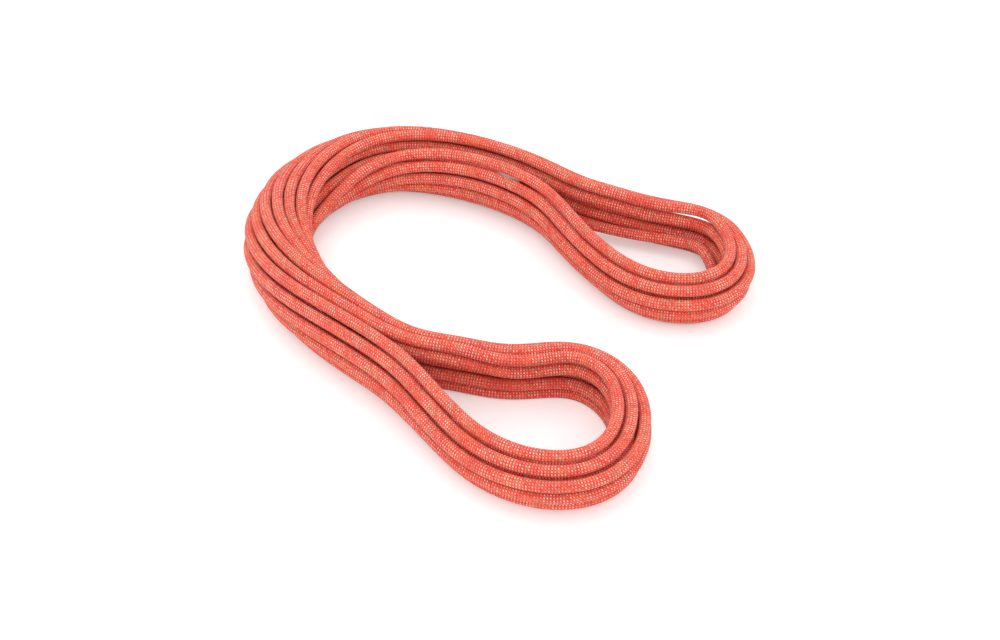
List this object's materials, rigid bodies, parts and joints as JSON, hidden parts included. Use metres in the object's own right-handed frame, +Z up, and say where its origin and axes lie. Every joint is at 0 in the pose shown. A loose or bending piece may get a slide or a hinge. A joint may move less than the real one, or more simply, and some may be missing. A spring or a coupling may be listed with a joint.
{
  "type": "dynamic climbing rope",
  "caption": "Kernmantle climbing rope with braided sheath and stranded core, laid down as a loose figure-eight hank bent into an open C.",
  "frame": {"origin": "on the floor, under the middle of the hank's bounding box", "axes": "+Z up from the floor, +X towards the open mouth of the C and the two eyes, +Y from the lower eye's side to the upper eye's side"},
  "size_m": [0.4418, 0.466, 0.0607],
  "materials": {
    "sheath_braid": "woven",
    "core_yarn": "twisted yarn",
    "marker_tape": "tape",
    "fused_tip": "melted",
    "label_film": "matte",
    "clear_sleeve": "clear"
  },
  "bodies": {
    "root": {"sheath": "sheath_braid", "id_tape": "marker_tape", "core_strand_1": "core_yarn", "core_strand_2": "core_yarn", "core_strand_3": "core_yarn", "core_strand_4": "core_yarn", "core_strand_5": "core_yarn", "core_strand_6": "core_yarn", "core_strand_7": "core_yarn", "tip_a": "fused_tip", "sleeve_a": "clear_sleeve", "label_a": "label_film", "tip_b": "fused_tip", "sleeve_b": "clear_sleeve", "label_b": "label_film"}
  },
  "joints": []
}
